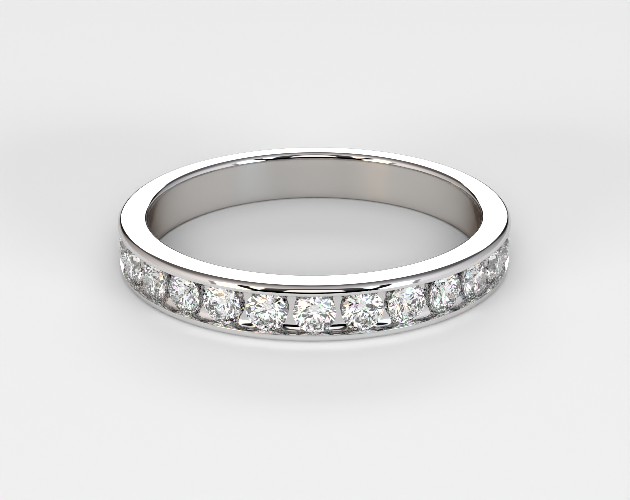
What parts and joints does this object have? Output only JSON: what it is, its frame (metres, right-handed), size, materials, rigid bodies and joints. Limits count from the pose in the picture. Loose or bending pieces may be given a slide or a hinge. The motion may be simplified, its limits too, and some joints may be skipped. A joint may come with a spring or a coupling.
{
  "type": "wedding ring",
  "caption": "Polished white metal band with a channel of round brilliant-cut clear stones round its front half and a plain back.",
  "frame": {"origin": "on the axis of the band's round outside, on the plane of the lower side face that the ring rests on; the finger hole's axis lies 0.12 mm behind it, because the wall thins from front to back", "axes": "+Z along the finger hole's axis, -Y towards the middle stone, +X to the right as seen from the front"},
  "size_m": [0.02, 0.02, 0.0028],
  "materials": {
    "white_gold": "mirror-polished white precious metal, with a fine satin finish on the wall beside the finger",
    "diamond": "colourless round brilliant cut, polished flat facets"
  },
  "bodies": {
    "root": {"band": "white_gold", "stone_01": "diamond", "stone_02": "diamond", "stone_03": "diamond", "stone_04": "diamond", "stone_05": "diamond", "stone_06": "diamond", "stone_07": "diamond", "stone_08": "diamond", "stone_09": "diamond", "stone_10": "diamond", "stone_11": "diamond", "stone_12": "diamond", "stone_13": "diamond", "stone_14": "diamond", "stone_15": "diamond"}
  },
  "joints": []
}
